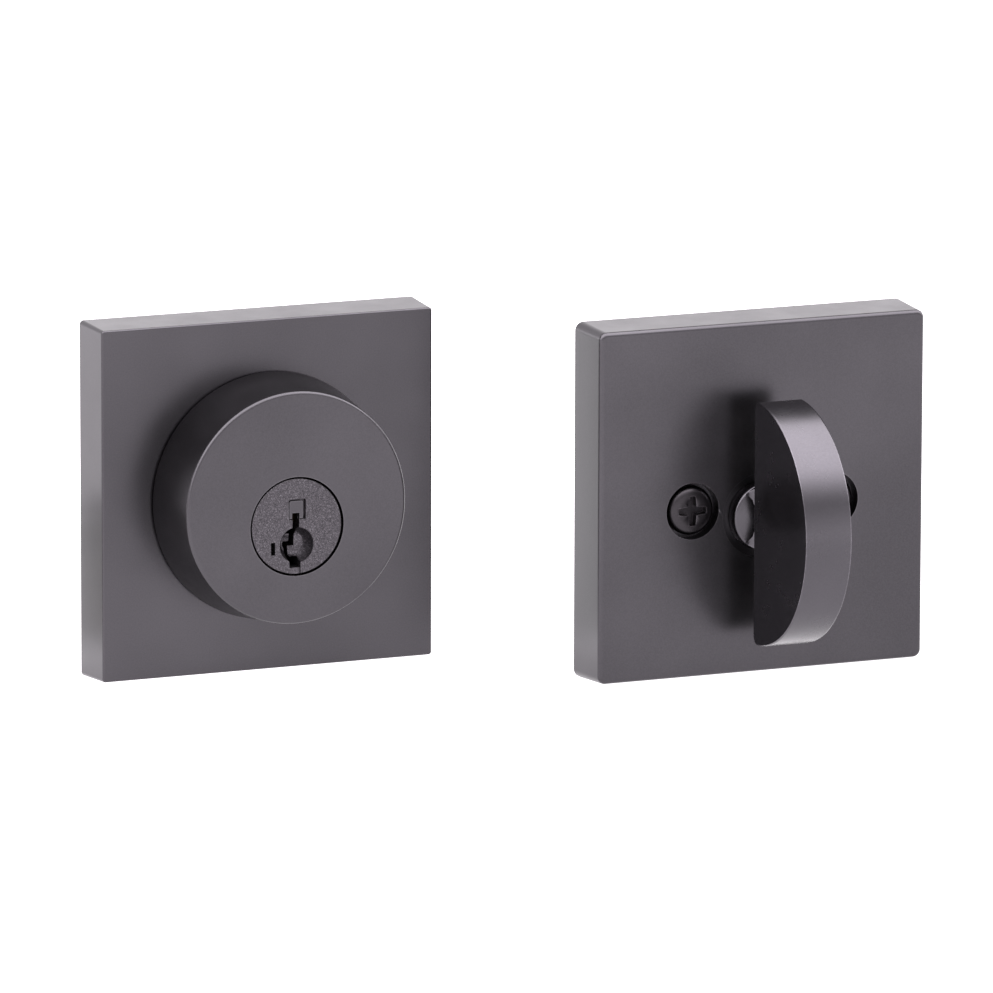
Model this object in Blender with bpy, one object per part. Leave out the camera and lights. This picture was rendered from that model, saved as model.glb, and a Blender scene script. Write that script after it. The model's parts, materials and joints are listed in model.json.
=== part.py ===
"""A single-cylinder deadbolt lock: the outside trim with its keyed cylinder, the inside trim with its
thumbturn, and the tubular latch with its 25.4 mm bolt.

The two trims stand side by side, facing -Y, and the latch lies to their left. The lock axis of the
outside trim is the Y axis, and its back face, which meets the door's outside face, is the plane y = 0.
Dimensions are in millimetres and become metres when a mesh is made."""

import math

import bmesh
import bpy
from mathutils import Matrix, Vector

MM = 0.001

# The door that the lock fits.
DOOR = 44.45
BACKSET = 60.3
LATCH_DEPTH = DOOR / 2

# The square roses. Their sides are drafted, so the back is a little larger than the front.
ROSE_HALF = 33.0
ROSE_DRAFT = 0.5
ROSE_CORNER = 1.1
ROSE_EDGE = 0.5
ROSE_UP = 3.45
ROSE_WALL = 2.6
OUTER_ROSE = 10.0
INNER_ROSE = 10.5

# Running and assembly gaps.
GAP = 0.3

# The outside trim.
HOUSING_BASE_R = 23.3
HOUSING_FACE_R = 21.8
HOUSING_OUT = 14.0
HOUSING_EDGE = 0.6
HOUSING_WALL = 2.2
SPIGOT_R = 19.0
FACE_Y = -OUTER_ROSE - HOUSING_OUT
PLUG_R = 8.95
BODY_R = 10.6
BODY_END = 3.0
BODY_REAR_WALL = 1.5
TAIL_R = 4.6
TAIL_END = 5.6
LUG_IN = 2.0
LUG_OUT = 4.2
LUG_LONG = 1.6
DRIVER_R = 5.2
DRIVER_TUBE_R = 4.4
DRIVER_END = 13.3

# The pins, wafers and sidebar inside the plug.
PIN_COUNT = 5
PIN_FIRST_Y = -18.6
PIN_PITCH = 3.6
PIN_R = 1.1
PIN_HOLE_R = 1.4
PIN_LOW = (-0.6, -1.2, -0.2, -1.5, -0.8)
PIN_TOP = 4.6
PIN_LIFT = 1.5
WAFER_X = (-3.8, -2.5)
WAFER_Z = (-4.0, 4.2)
WAFER_THICK = 1.2
SIDEBAR_X = (-8.8, -7.4)
SIDEBAR_Y = (-19.8, -3.2)
SIDEBAR_HALF = 0.8

# The two screws that join the trims through the door, a little above the lock axis.
SCREW_X = 14.2
SCREW_Z = 1.8
SCREW_R = 2.0
SCREW_HOLE_R = 2.4
SCREW_HEAD_R = 4.6
SCREW_RECESS_R = 5.3
SCREW_SEAT = 2.8
SCREW_REACH = DOOR - 7.0
POST_R = 3.1
POST_END = 12.0

# The inside trim, which stands beside the outside trim and nearer the viewer.
INNER_AT = (83.6, -OUTER_ROSE - 37.4 + INNER_ROSE, 0.0)
NECK_RECESS_R = 8.0
NECK_RECESS = 1.0
FLANGE_R = 6.7
FLANGE_OUT = 1.7
TURN_WEB = (3.2, 6.0)
TURN_R = 22.9
TURN_THICK = 9.2
TURN_STAND_OFF = 6.0
SPINDLE_R = 5.0
WEB_BACK = -4.0
BLADE_WIDE = 5.6
BLADE_THICK = 1.8
BLADE_TIP = DOOR - 10.2

# The latch, drawn from its hub; its bolt points to -X.
LATCH_AT = (-65.0, LATCH_DEPTH, ROSE_UP - ROSE_HALF - ROSE_DRAFT + 12.5)
CASE_FRONT = 20.0
CASE_REAR = 17.5
CASE_HALF_Y = 6.25
CASE_HALF_Z = 10.8
CASE_WALL = 1.0
HUB_R = 6.0
JOURNAL_R = 4.7
CRANK_TILT = math.radians(45)
TAIL_PIN_RISE = 12.7
TAIL_PIN_R = 1.3
CRANK_SLOT_HALF = 2.7
CRANK_SLOT = (13.6, 17.1)
CRANK_HALF = 4.4
BOLT_HALF_Y = 6.5
BOLT_HALF_Z = 9.0
BOLT_CORNER = 3.0
BOLT_REAR = 27.3
TUBE_IN_R = 10.4
TUBE_OUT_R = 11.3
COLLAR_R = 12.5
COLLAR_THICK = 3.0

ROUND = 48
MEDIUM = 32
SMALL = 16


# ---------------------------------------------------------------- scene, materials and placing


def clear_scene():
    for obj in list(bpy.data.objects):
        bpy.data.objects.remove(obj, do_unlink=True)


def material(name, colour, metallic, roughness):
    made = bpy.data.materials.new(name)
    made.use_nodes = True
    shader = made.node_tree.nodes["Principled BSDF"]
    shader.inputs["Base Color"].default_value = (*colour, 1.0)
    shader.inputs["Metallic"].default_value = metallic
    shader.inputs["Roughness"].default_value = roughness
    return made


def frame_at(name, place):
    """An empty at place, in millimetres, that carries one of the lock's assemblies."""
    empty = bpy.data.objects.new(name, None)
    empty.location = Vector(place) * MM
    bpy.context.collection.objects.link(empty)
    return empty


def add_object(name, bm, finish, parent):
    bmesh.ops.remove_doubles(bm, verts=bm.verts, dist=1e-7)
    bmesh.ops.recalc_face_normals(bm, faces=bm.faces)
    mesh = bpy.data.meshes.new(name)
    bm.to_mesh(mesh)
    bm.free()
    mesh.shade_smooth()
    mesh.set_sharp_from_angle(angle=math.radians(30))
    obj = bpy.data.objects.new(name, mesh)
    bpy.context.collection.objects.link(obj)
    obj.parent = parent
    if finish:
        mesh.materials.append(finish)
    return obj


# ---------------------------------------------------------------- shapes


def skin(name, rings, finish, parent):
    """A solid through rings of equal length. A ring of one point closes the solid to a tip there."""
    bm = bmesh.new()
    rows = [[bm.verts.new(Vector(point) * MM) for point in ring] for ring in rings]
    for low, high in zip(rows, rows[1:]):
        count = max(len(low), len(high))
        for i in range(count):
            j = (i + 1) % count
            if len(low) == 1:
                bm.faces.new((low[0], high[j], high[i]))
            elif len(high) == 1:
                bm.faces.new((low[i], low[j], high[0]))
            else:
                bm.faces.new((low[i], low[j], high[j], high[i]))
    for row in (rows[0], rows[-1]):
        if len(row) > 2:
            bm.faces.new(row)
    return add_object(name, bm, finish, parent)


def on_axis(axis, radius, along, angle):
    """The point at this radius and angle round axis, and this far along it."""
    a = radius * math.cos(angle)
    b = radius * math.sin(angle)
    return {"X": (along, a, b), "Y": (a, along, b), "Z": (a, b, along)}[axis]


def turned(name, profile, finish, parent, axis="Y", centre=(0, 0, 0), sides=MEDIUM):
    """A solid turned round axis from (radius, along) points. A profile that doesn't start and end on
    the axis is closed into a ring."""
    solid = profile[0][0] == 0 and profile[-1][0] == 0
    bm = bmesh.new()
    rows = []
    for radius, along in profile:
        count = 1 if radius == 0 else sides
        points = [on_axis(axis, radius, along, 2 * math.pi * i / sides) for i in range(count)]
        rows.append([bm.verts.new((Vector(p) + Vector(centre)) * MM) for p in points])
    pairs = list(zip(rows, rows[1:]))
    if not solid:
        pairs.append((rows[-1], rows[0]))
    for low, high in pairs:
        for i in range(sides):
            j = (i + 1) % sides
            corners = [low[i % len(low)], low[j % len(low)], high[j % len(high)], high[i % len(high)]]
            face = list(dict.fromkeys(corners))
            if len(face) > 2:
                bm.faces.new(face)
    return add_object(name, bm, finish, parent)


def rod(radius, low, high):
    return [(0, low), (radius, low), (radius, high), (0, high)]


def ring(inside, outside, low, high):
    return [(inside, low), (outside, low), (outside, high), (inside, high)]


def prism(name, outline, low, high, finish, parent, axis="Y"):
    """An outline extruded along axis. Its two numbers are the other two axes, in X, Y, Z order."""
    place = {
        "X": lambda a, b, along: (along, a, b),
        "Y": lambda a, b, along: (a, along, b),
        "Z": lambda a, b, along: (a, b, along),
    }[axis]
    rings = [[place(a, b, along) for a, b in outline] for along in (low, high)]
    return skin(name, rings, finish, parent)


def arc(centre, radius, start, end, steps):
    """Points of an arc; start and end are in degrees."""
    turns = [math.radians(start + (end - start) * i / steps) for i in range(steps + 1)]
    return [(centre[0] + radius * math.cos(t), centre[1] + radius * math.sin(t)) for t in turns]


def rounded(half_a, half_b, radius, steps=3, centre=(0, 0)):
    """A rectangle with rounded corners."""
    a, b = half_a - radius, half_b - radius
    corners = ((a, b, 0), (-a, b, 90), (-a, -b, 180), (a, -b, 270))
    outline = []
    for x, y, turn in corners:
        outline += arc((x + centre[0], y + centre[1]), radius, turn, turn + 90, steps)
    return outline


def rectangle(a, b):
    return [(a[0], b[0]), (a[1], b[0]), (a[1], b[1]), (a[0], b[1])]


def combine(target, tool, operation):
    """Cut a tool from a solid, or join it on. The tool is a helper and isn't part of the lock."""
    modifier = target.modifiers.new(tool.name, "BOOLEAN")
    modifier.operation = operation
    modifier.object = tool
    tool.hide_render = True
    tool.display_type = "WIRE"


def cut(target, tool):
    combine(target, tool, "DIFFERENCE")


def cut_hole(target, radius, low, high, centre=(0, 0, 0), axis="Y", sides=SMALL):
    name = f"{target.name}_hole_{len(target.modifiers)}"
    cut(target, turned(name, rod(radius, low, high), None, target.parent, axis, centre, sides))


def cut_prism(target, outline, low, high, axis="Y"):
    name = f"{target.name}_cut_{len(target.modifiers)}"
    cut(target, prism(name, outline, low, high, None, target.parent, axis))


def sector(name, inside, outside, middle, width, low, high, parent, finish=None):
    """A block cut from a ring round the lock axis; middle and width are in degrees."""
    start, end = middle - width / 2, middle + width / 2
    outline = arc((0, 0), outside, start, end, 6) + arc((0, 0), inside, end, start, 6)
    return prism(name, outline, low, high, finish, parent)


def coil(name, radius, wire, start, turns, pitch, finish, parent, axis="Z", centre=(0, 0, 0)):
    """A compression spring of round wire."""
    steps, sides = 9, 5
    rings = []
    for i in range(int(turns * steps) + 1):
        turn = 2 * math.pi * i / steps
        along = start + pitch * i / steps
        spot = []
        for k in range(sides):
            around = 2 * math.pi * k / sides
            reach = radius + wire * math.cos(around)
            spot.append(on_axis(axis, reach, along + wire * math.sin(around), turn))
        rings.append([tuple(Vector(p) + Vector(centre)) for p in spot])
    return skin(name, rings, finish, parent)


# ---------------------------------------------------------------- square roses


def screw_spot(side):
    """Where a through screw crosses the XZ plane; side is -1 or 1."""
    return (side * SCREW_X, 0, SCREW_Z)


def square_ring(half, corner, y):
    return [(a, y, b) for a, b in rounded(half, half, corner, 3, (0, ROSE_UP))]


def rose(name, depth, back, finish, parent):
    """A drafted square plate with softened edges; its back face is at y = back."""
    front = back - depth
    rings = [
        square_ring(ROSE_HALF + ROSE_DRAFT, ROSE_CORNER, back),
        square_ring(ROSE_HALF, ROSE_CORNER, front + ROSE_EDGE),
        square_ring(ROSE_HALF - ROSE_EDGE * 0.3, ROSE_CORNER, front + ROSE_EDGE * 0.3),
        square_ring(ROSE_HALF - ROSE_EDGE, ROSE_CORNER, front),
    ]
    return skin(name, rings, finish, parent)


# ---------------------------------------------------------------- outside trim


def exterior_rose(look, parent):
    plate = rose("exterior_rose", OUTER_ROSE, 0.0, look["finish"], parent)
    hollow = rounded(ROSE_HALF - ROSE_WALL, ROSE_HALF - ROSE_WALL, 2.0, 3, (0, ROSE_UP))
    cut_prism(plate, hollow, -OUTER_ROSE + ROSE_WALL, 1.0)
    cut_hole(plate, SPIGOT_R + GAP, -OUTER_ROSE - 1, 1.0, (0, 0, ROSE_UP), sides=ROUND)


def cylinder_housing(look, parent):
    """The tapered guard, with a spigot behind it and the two posts that the through screws enter."""
    base = -OUTER_ROSE - GAP
    profile = [
        (0, FACE_Y),
        (HOUSING_FACE_R - HOUSING_EDGE, FACE_Y),
        (HOUSING_FACE_R - HOUSING_EDGE * 0.3, FACE_Y + HOUSING_EDGE * 0.3),
        (HOUSING_FACE_R, FACE_Y + HOUSING_EDGE),
        (HOUSING_BASE_R, base),
        (SPIGOT_R, base),
        (SPIGOT_R, -0.5),
        (0, -0.5),
    ]
    housing = turned(
        "cylinder_housing", profile, look["finish"], parent, centre=(0, 0, ROSE_UP), sides=64
    )
    cut_hole(housing, PLUG_R + 0.4, FACE_Y - 1, FACE_Y + HOUSING_WALL + 1, sides=ROUND)
    cut_hole(housing, BODY_R + GAP, FACE_Y + HOUSING_WALL, 1.0, sides=ROUND)
    for side in (-1, 1):
        place = screw_spot(side)
        post = turned(f"housing_post_{side}", rod(POST_R, -1.5, POST_END), None, parent, centre=place)
        combine(housing, post, "UNION")
        cut_hole(housing, SCREW_HOLE_R, -4.0, POST_END + 1, place)


def cylinder_body(look, parent):
    inside = PLUG_R + GAP
    front = FACE_Y + HOUSING_WALL + GAP
    wall = BODY_END - BODY_REAR_WALL
    profile = [
        (inside, front),
        (BODY_R, front),
        (BODY_R, BODY_END),
        (TAIL_R + 0.4, BODY_END),
        (TAIL_R + 0.4, wall),
        (inside, wall),
    ]
    body = turned("cylinder_body", profile, look["zinc"], parent)
    cut_prism(body, rectangle((-9.9, -8.5), (-1.0, 1.0)), SIDEBAR_Y[0] - GAP, SIDEBAR_Y[1] + GAP)


def keyway_outline():
    """The stepped slot that a key enters, seen from the front."""
    left = [(-0.86, 2.5), (-0.86, -1.1), (-1.37, -1.1), (-1.37, -1.8), (-0.55, -1.8), (-0.55, -3.2)]
    left += [(-1.9, -3.2), (-1.5, -7.8)]
    right = [(0.73, -7.8), (0.73, -6.0), (-0.75, -6.0), (-0.75, -4.1), (0.49, -4.1), (0.49, 2.5)]
    return left + right


def pin_y(i):
    return PIN_FIRST_Y + PIN_PITCH * i


def plug(look, parent):
    face = FACE_Y + 0.15
    end = BODY_END - BODY_REAR_WALL - GAP
    groove = (3.4, 4.4)
    profile = [(0, face), (PLUG_R - 0.3, face), (PLUG_R, face + 0.3), (PLUG_R, end), (TAIL_R, end)]
    profile += [(TAIL_R, groove[0]), (3.9, groove[0]), (3.9, groove[1]), (TAIL_R, groove[1])]
    profile += [(TAIL_R, TAIL_END), (0, TAIL_END)]
    core = turned("plug", profile, look["zinc"], parent, sides=ROUND)
    lug = sector("plug_lug", LUG_IN, LUG_OUT, 90, 60, TAIL_END - 0.5, TAIL_END + LUG_LONG, parent)
    combine(core, lug, "UNION")
    dish = [(0, face - 1), (3.3, face - 1), (3.3, face), (1.2, face + 0.9), (0, face + 0.9)]
    cut(core, turned("plug_dish", dish, None, parent, centre=(0, 0, -3.5), sides=24))
    cut_prism(core, rectangle((-1.6, 1.9), (1.3, 5.1)), face - 1, face + 0.8)
    cut_prism(core, keyway_outline(), face - 1, -2.6)
    cut_prism(core, rectangle((-5.15, -4.3), (-5.1, -2.8)), face - 1, face + 3.5)
    cut_prism(core, rectangle((-9.5, -6.6), (-1.1, 1.1)), SIDEBAR_Y[0] - GAP, SIDEBAR_Y[1] + GAP)
    for y in sidebar_spring_places():
        cut_hole(core, 0.95, -7.0, -4.4, (0, y, 0), "X", 12)
    slot_x = (WAFER_X[0] - GAP, WAFER_X[1] + GAP)
    half = WAFER_THICK / 2 + GAP
    for i in range(PIN_COUNT):
        y = pin_y(i)
        cut_hole(core, PIN_HOLE_R, min(PIN_LOW) - GAP, 9.6, (0, y, 0), "Z", 12)
        cut_prism(core, rectangle(slot_x, (WAFER_Z[0] - GAP, 9.6)), y - half, y + half)


def keyway_cap(look, parent):
    """The small block that fills the recess above the keyway."""
    face = FACE_Y + 0.2
    outline = [(-1.3, 4.8), (-1.3, 1.6), (-1.16, 1.6), (-1.16, 2.8), (0.79, 2.8), (0.79, 1.6)]
    outline += [(1.3, 1.6), (1.3, 4.8)]
    prism("keyway_cap", outline, face, face + 0.45, look["zinc"], parent)


def plug_clip(look, parent):
    outline = arc((0, 0), 6.6, -60, 240, 20) + arc((0, 0), 4.2, 240, -60, 20)
    prism("plug_clip", outline, 3.5, 4.3, look["spring"], parent)


def tail_driver(look, parent):
    """The cup behind the plug that turns the torque blade, with free play between the two lugs."""
    front = TAIL_END + LUG_LONG + GAP
    shoulder = front + 1.5
    profile = [(0, front), (DRIVER_R, front), (DRIVER_R, shoulder), (DRIVER_TUBE_R, shoulder)]
    profile += [(DRIVER_TUBE_R, DRIVER_END), (0, DRIVER_END)]
    driver = turned("tail_driver", profile, look["steel"], parent)
    lug = sector("driver_lug", LUG_IN, LUG_OUT, 270, 60, TAIL_END + GAP, front + 0.5, parent)
    combine(driver, lug, "UNION")
    wide, thick = BLADE_WIDE / 2 + GAP, BLADE_THICK / 2 + GAP
    cut_prism(driver, rectangle((-thick, thick), (-wide, wide)), shoulder + 0.6, DRIVER_END + 1)


def driver_cap(look, parent):
    """The cup on the cylinder's rear that keeps the driver in."""
    front = BODY_END + GAP
    profile = [(8.2, front), (9.4, front), (9.4, 11.5), (DRIVER_TUBE_R + 0.4, 11.5)]
    profile += [(DRIVER_TUBE_R + 0.4, 10.2), (8.2, 10.2)]
    turned("driver_cap", profile, look["zinc"], parent)


def tumblers(look, parent):
    for i in range(PIN_COUNT):
        y = pin_y(i)
        low = PIN_LOW[i]
        spot = (0, y, 0)
        profile = [(0, low), (0.4, low), (PIN_R, low + 0.8), (PIN_R, PIN_TOP), (0, PIN_TOP)]
        turned(f"key_pin_{i + 1}", profile, look["brass"], parent, "Z", spot, 12)
        start = PIN_TOP + PIN_LIFT + 0.45
        name = f"pin_spring_{i + 1}"
        coil(name, 0.85, 0.15, start, 3, 0.55, look["spring"], parent, "Z", spot)
        notch = 0.6 + 0.4 * (i % 3)
        left, right = WAFER_X
        outline = [(right, WAFER_Z[1]), (left, WAFER_Z[1]), (left, notch), (left + 0.5, notch - 0.3)]
        outline += [(left + 0.5, notch - 1.1), (left, notch - 1.4), (left, WAFER_Z[0])]
        outline += [(right, WAFER_Z[0])]
        half = WAFER_THICK / 2
        prism(f"wafer_{i + 1}", outline, y - half, y + half, look["brass"], parent)


def sidebar_spring_places():
    return (SIDEBAR_Y[0] + 1.2, SIDEBAR_Y[1] - 1.2)


def sidebar(look, parent):
    out, back = SIDEBAR_X
    half = SIDEBAR_HALF
    outline = [(back, half), (out + 0.4, half), (out, 0.3), (out, -0.3), (out + 0.4, -half)]
    outline += [(back, -half)]
    prism("sidebar", outline, *SIDEBAR_Y, look["brass"], parent)
    for i, y in enumerate(sidebar_spring_places()):
        name = f"sidebar_spring_{i + 1}"
        coil(name, 0.55, 0.12, -6.55, 3, 0.5, look["spring"], parent, "X", (0, y, 0))


def exterior(look, parent):
    exterior_rose(look, parent)
    cylinder_housing(look, parent)
    cylinder_body(look, parent)
    plug(look, parent)
    keyway_cap(look, parent)
    plug_clip(look, parent)
    tail_driver(look, parent)
    driver_cap(look, parent)
    tumblers(look, parent)
    sidebar(look, parent)


# ---------------------------------------------------------------- inside trim


def interior_rose(look, parent):
    """A drafted plate with a solid web across it for the spindle and the screws."""
    plate = rose("interior_rose", INNER_ROSE, 0.0, look["finish"], parent)
    half = ROSE_HALF - ROSE_WALL
    web = (-8.0, 8.0)
    for low, high in ((ROSE_UP - half, web[0]), (web[1], ROSE_UP + half)):
        middle = (low + high) / 2
        pocket = rounded(half, (high - low) / 2, 2.0, 3, (0, middle))
        cut_prism(plate, pocket, -INNER_ROSE + ROSE_WALL, 1.0)
    cut_prism(plate, rectangle((-half, half), (web[0] - 2.5, web[1] + 2.5)), WEB_BACK, 1.0)
    front = -INNER_ROSE
    cut_hole(plate, NECK_RECESS_R, front - 1, front + NECK_RECESS, sides=ROUND)
    cut_hole(plate, SPINDLE_R + GAP, front, 1.0, sides=MEDIUM)
    for side in (-1, 1):
        spot = screw_spot(side)
        cut_hole(plate, SCREW_RECESS_R, front - 1, front + SCREW_SEAT, spot, sides=MEDIUM)
        cut_hole(plate, SCREW_HOLE_R, front, 1.0, spot)


def thumbturn(look, parent):
    """The half-round paddle, the web and flange behind it, and the spindle that the clip holds."""
    front = -INNER_ROSE
    flat = front - TURN_STAND_OFF
    outline = [(y + flat, z) for y, z in arc((0, 0), TURN_R, 90, 270, 32)]
    paddle = prism("thumbturn", outline, -TURN_THICK / 2, TURN_THICK / 2, look["finish"], parent, "X")
    seat = front + NECK_RECESS - GAP
    flange = front - FLANGE_OUT
    neck = [(0, flange), (FLANGE_R, flange), (FLANGE_R, seat), (SPINDLE_R, seat)]
    neck += [(SPINDLE_R, -2.95), (4.0, -2.95), (4.0, -1.85), (SPINDLE_R, -1.85)]
    neck += [(SPINDLE_R, -0.8), (0, -0.8)]
    combine(paddle, turned("turn_neck", neck, None, parent), "UNION")
    half_x, half_z = TURN_WEB
    web = rectangle((-half_x, half_x), (-half_z, half_z))
    combine(paddle, prism("turn_web", web, flat - 1.0, flange + 0.5, None, parent), "UNION")
    wide, thick = BLADE_WIDE / 2 + GAP, BLADE_THICK / 2 + GAP
    cut_prism(paddle, rectangle((-thick, thick), (-wide, wide)), -6.0, 1.0)


def screw(name, side, look, parent):
    seat = -INNER_ROSE + SCREW_SEAT
    head = seat - GAP
    profile = [(0, head - 2.1), (2.6, head - 1.9), (3.9, head - 1.2), (SCREW_HEAD_R, head - 0.3)]
    profile += [(SCREW_HEAD_R, head), (SCREW_R, head), (SCREW_R, SCREW_REACH - 0.6)]
    profile += [(SCREW_R - 0.6, SCREW_REACH), (0, SCREW_REACH)]
    place = screw_spot(side)
    made = turned(name, profile, look["screw"], parent, "Y", place, 24)
    cross = (head - 3.0, head - 0.9)
    x, _, z = place
    for wide, high in ((2.1, 0.55), (0.55, 2.1)):
        cut_prism(made, rectangle((x - wide, x + wide), (z - high, z + high)), *cross)


def interior(look, parent):
    interior_rose(look, parent)
    thumbturn(look, parent)
    turned("turn_washer", ring(5.4, 8.0, -3.7, -3.1), look["nylon"], parent, sides=24)
    clip = arc((0, 0), 7.4, -60, 240, 20) + arc((0, 0), 4.3, 240, -60, 20)
    prism("turn_clip", clip, -2.8, -2.0, look["spring"], parent)
    half_wide, half_thick = BLADE_WIDE / 2, BLADE_THICK / 2
    blade = rectangle((-half_thick, half_thick), (-half_wide, half_wide))
    prism("torque_blade", blade, -5.7, BLADE_TIP, look["steel"], parent)
    plate = prism("backing_plate", rounded(27.5, 8.6, 2.0), -1.4, -GAP, look["steel"], parent)
    cut_hole(plate, 7.9, -2.0, 1.0, sides=24)
    for number, side in enumerate((-1, 1), 1):
        cut_hole(plate, SCREW_HOLE_R, -2.0, 1.0, screw_spot(side))
        screw(f"through_screw_{number}", side, look, parent)


# ---------------------------------------------------------------- latch


def rivet_places():
    return ((-18.4, 5.0), (-18.4, -7.4), (13.6, -7.4))


def case_half(name, side, look, parent):
    """One of the two stampings that hold the crank between them."""
    outer, split = side * CASE_HALF_Y, side * GAP / 2
    low, high = sorted((outer, split))
    block = rectangle((-CASE_FRONT, CASE_REAR), (-CASE_HALF_Z, CASE_HALF_Z))
    case = prism(name, block, low, high, look["steel"], parent)
    inner = sorted((side * (CASE_HALF_Y - CASE_WALL), -side))
    hollow = rectangle((-CASE_FRONT - 1, CASE_REAR - CASE_WALL), (-CASE_HALF_Z + CASE_WALL, 12))
    cut_prism(case, hollow, *inner)
    cut_prism(case, rectangle((CASE_REAR - 2, CASE_REAR + 1), (5, 12)), *inner)
    through = (-CASE_HALF_Y - 1, CASE_HALF_Y + 1)
    cut_hole(case, JOURNAL_R + GAP, *through, sides=24)
    for edge in (-1, 1):
        cut_hole(case, SCREW_HOLE_R + 0.2, *through, screw_spot(edge))
    for x, z in rivet_places():
        cut_hole(case, 1.2, *through, (x, 0, z), sides=12)


def crank(look, parent):
    """The hub that the blade turns, with a slotted arm that drives the tail's pin."""
    hub = [(0, -6.6), (JOURNAL_R, -6.6), (JOURNAL_R, -5.0), (HUB_R, -5.0)]
    hub += [(HUB_R, 5.0), (JOURNAL_R, 5.0), (JOURNAL_R, 6.6), (0, 6.6)]
    made = turned("crank", hub, look["zinc"], parent)

    def tilted(outline):
        c, s = math.cos(CRANK_TILT), math.sin(CRANK_TILT)
        return [(x * c + z * s, z * c - x * s) for x, z in outline]

    far, near = CRANK_SLOT[1], CRANK_SLOT[0]
    arm = arc((0, far), CRANK_HALF, 0, 180, 12) + arc((0, 0), CRANK_HALF, 180, 360, 12)
    slot = arc((0, far), CRANK_SLOT_HALF, 0, 180, 8) + arc((0, near), CRANK_SLOT_HALF, 180, 360, 8)
    combine(made, prism("crank_arm", tilted(arm), 0.4, 2.4, None, parent), "UNION")
    cut_prism(made, tilted(slot), 0.0, 3.0)
    wide, thick = BLADE_WIDE / 2 + GAP, BLADE_THICK / 2 + GAP
    cut_prism(made, rectangle((-thick, thick), (-wide, wide)), -8, 8)


def bolt(look, parent):
    """The square-shouldered bolt; its middle is bored for the hardened core."""

    def section(x, inset):
        half_y, half_z = BOLT_HALF_Y - inset, BOLT_HALF_Z - inset
        return [(x, y, z) for y, z in rounded(half_y, half_z, BOLT_CORNER - inset, 4)]

    tip = -BACKSET
    rings = [section(-BOLT_REAR, 0), section(tip + 1.0, 0), section(tip + 0.3, 0.3), section(tip, 1.0)]
    made = skin("bolt", rings, look["brass"], parent)
    cut_hole(made, 2.9, -56.0, -BOLT_REAR + 1, axis="X", sides=SMALL)
    cut_prism(made, rectangle((-32.0, -BOLT_REAR + 1), (6.3, 10.0)), -2.8, 0.1)
    turned("bolt_core", rod(2.5, -55.4, -BOLT_REAR - 0.7), look["steel"], parent, "X", sides=SMALL)


def bolt_tail(look, parent):
    """The link from the bolt back over the hub to the crank's pin."""
    lug = TAIL_PIN_RISE
    outline = [(-31.4, 6.7), (15.2, 6.7), (15.2, lug + 1.4), (lug - 2.5, lug + 1.4)]
    outline += [(lug - 2.5, 9.3), (-31.4, 9.3)]
    tail = prism("bolt_tail", outline, -2.4, -GAP, look["steel"], parent)
    spot = (lug, 0, lug)
    cut_hole(tail, TAIL_PIN_R - 0.1, -3.0, 1.0, spot, sides=12)
    profile = [(0, -2.4), (0.9, -2.4), (0.9, -0.1), (TAIL_PIN_R, -0.1), (TAIL_PIN_R, 3.0), (0, 3.0)]
    turned("tail_pin", profile, look["steel"], parent, "Y", spot, SMALL)


def collar(look, parent):
    """The drive-in ring at the door's edge, with the bolt's opening."""
    front = -BACKSET
    back = front + COLLAR_THICK
    profile = [(0, front), (COLLAR_R - 0.5, front), (COLLAR_R, front + 0.5), (COLLAR_R, back)]
    profile += [(COLLAR_R - 0.2, -48.0), (TUBE_OUT_R + GAP, -48.0), (TUBE_OUT_R + GAP, back)]
    profile += [(0, back)]
    made = turned("latch_collar", profile, look["finish"], parent, "X", sides=ROUND)
    opening = rounded(BOLT_HALF_Y + 0.4, BOLT_HALF_Z + 0.4, BOLT_CORNER + 0.3, 4)
    cut_prism(made, opening, front - 1, back + 1, "X")


def detent_spring(look, parent):
    """A leaf in the case's floor."""
    line = [(-12.5, -9.2), (-5.0, -9.2), (-1.5, -7.5), (1.5, -7.5), (5.0, -9.2), (12.0, -9.2)]
    outline = line + [(x, z + 0.35) for x, z in reversed(line)]
    prism("detent_spring", outline, -2.0, 2.0, look["spring"], parent)


def latch(look, parent):
    case_half("latch_case_near", -1, look, parent)
    case_half("latch_case_far", 1, look, parent)
    crank(look, parent)
    bolt(look, parent)
    bolt_tail(look, parent)
    tube = ring(TUBE_IN_R, TUBE_OUT_R, -BACKSET + COLLAR_THICK + GAP, -CASE_FRONT - GAP)
    turned("latch_tube", tube, look["steel"], parent, "X")
    collar(look, parent)
    detent_spring(look, parent)
    for number, (x, z) in enumerate(rivet_places(), 1):
        side = CASE_HALF_Y + GAP
        profile = [(0, -side - 0.6), (1.7, -side - 0.4), (1.7, -side), (0.9, -side), (0.9, side)]
        profile += [(1.7, side), (1.7, side + 0.4), (0, side + 0.6)]
        turned(f"case_rivet_{number}", profile, look["steel"], parent, "Y", (x, 0, z), 12)


# ---------------------------------------------------------------- the lock


def main():
    clear_scene()
    look = {
        "finish": material("satin_graphite", (0.13, 0.12, 0.14), 0.9, 0.42),
        "zinc": material("sintered_zinc", (0.14, 0.13, 0.15), 0.8, 0.6),
        "steel": material("plated_steel", (0.55, 0.54, 0.5), 1.0, 0.35),
        "brass": material("brass", (0.72, 0.55, 0.28), 1.0, 0.35),
        "spring": material("spring_steel", (0.45, 0.45, 0.46), 1.0, 0.3),
        "screw": material("black_screw", (0.05, 0.045, 0.05), 0.8, 0.4),
        "nylon": material("nylon", (0.75, 0.73, 0.68), 0.0, 0.5),
    }
    exterior(look, frame_at("exterior_trim", (0, 0, 0)))
    interior(look, frame_at("interior_trim", INNER_AT))
    latch(look, frame_at("latch_assembly", LATCH_AT))


main()
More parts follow.
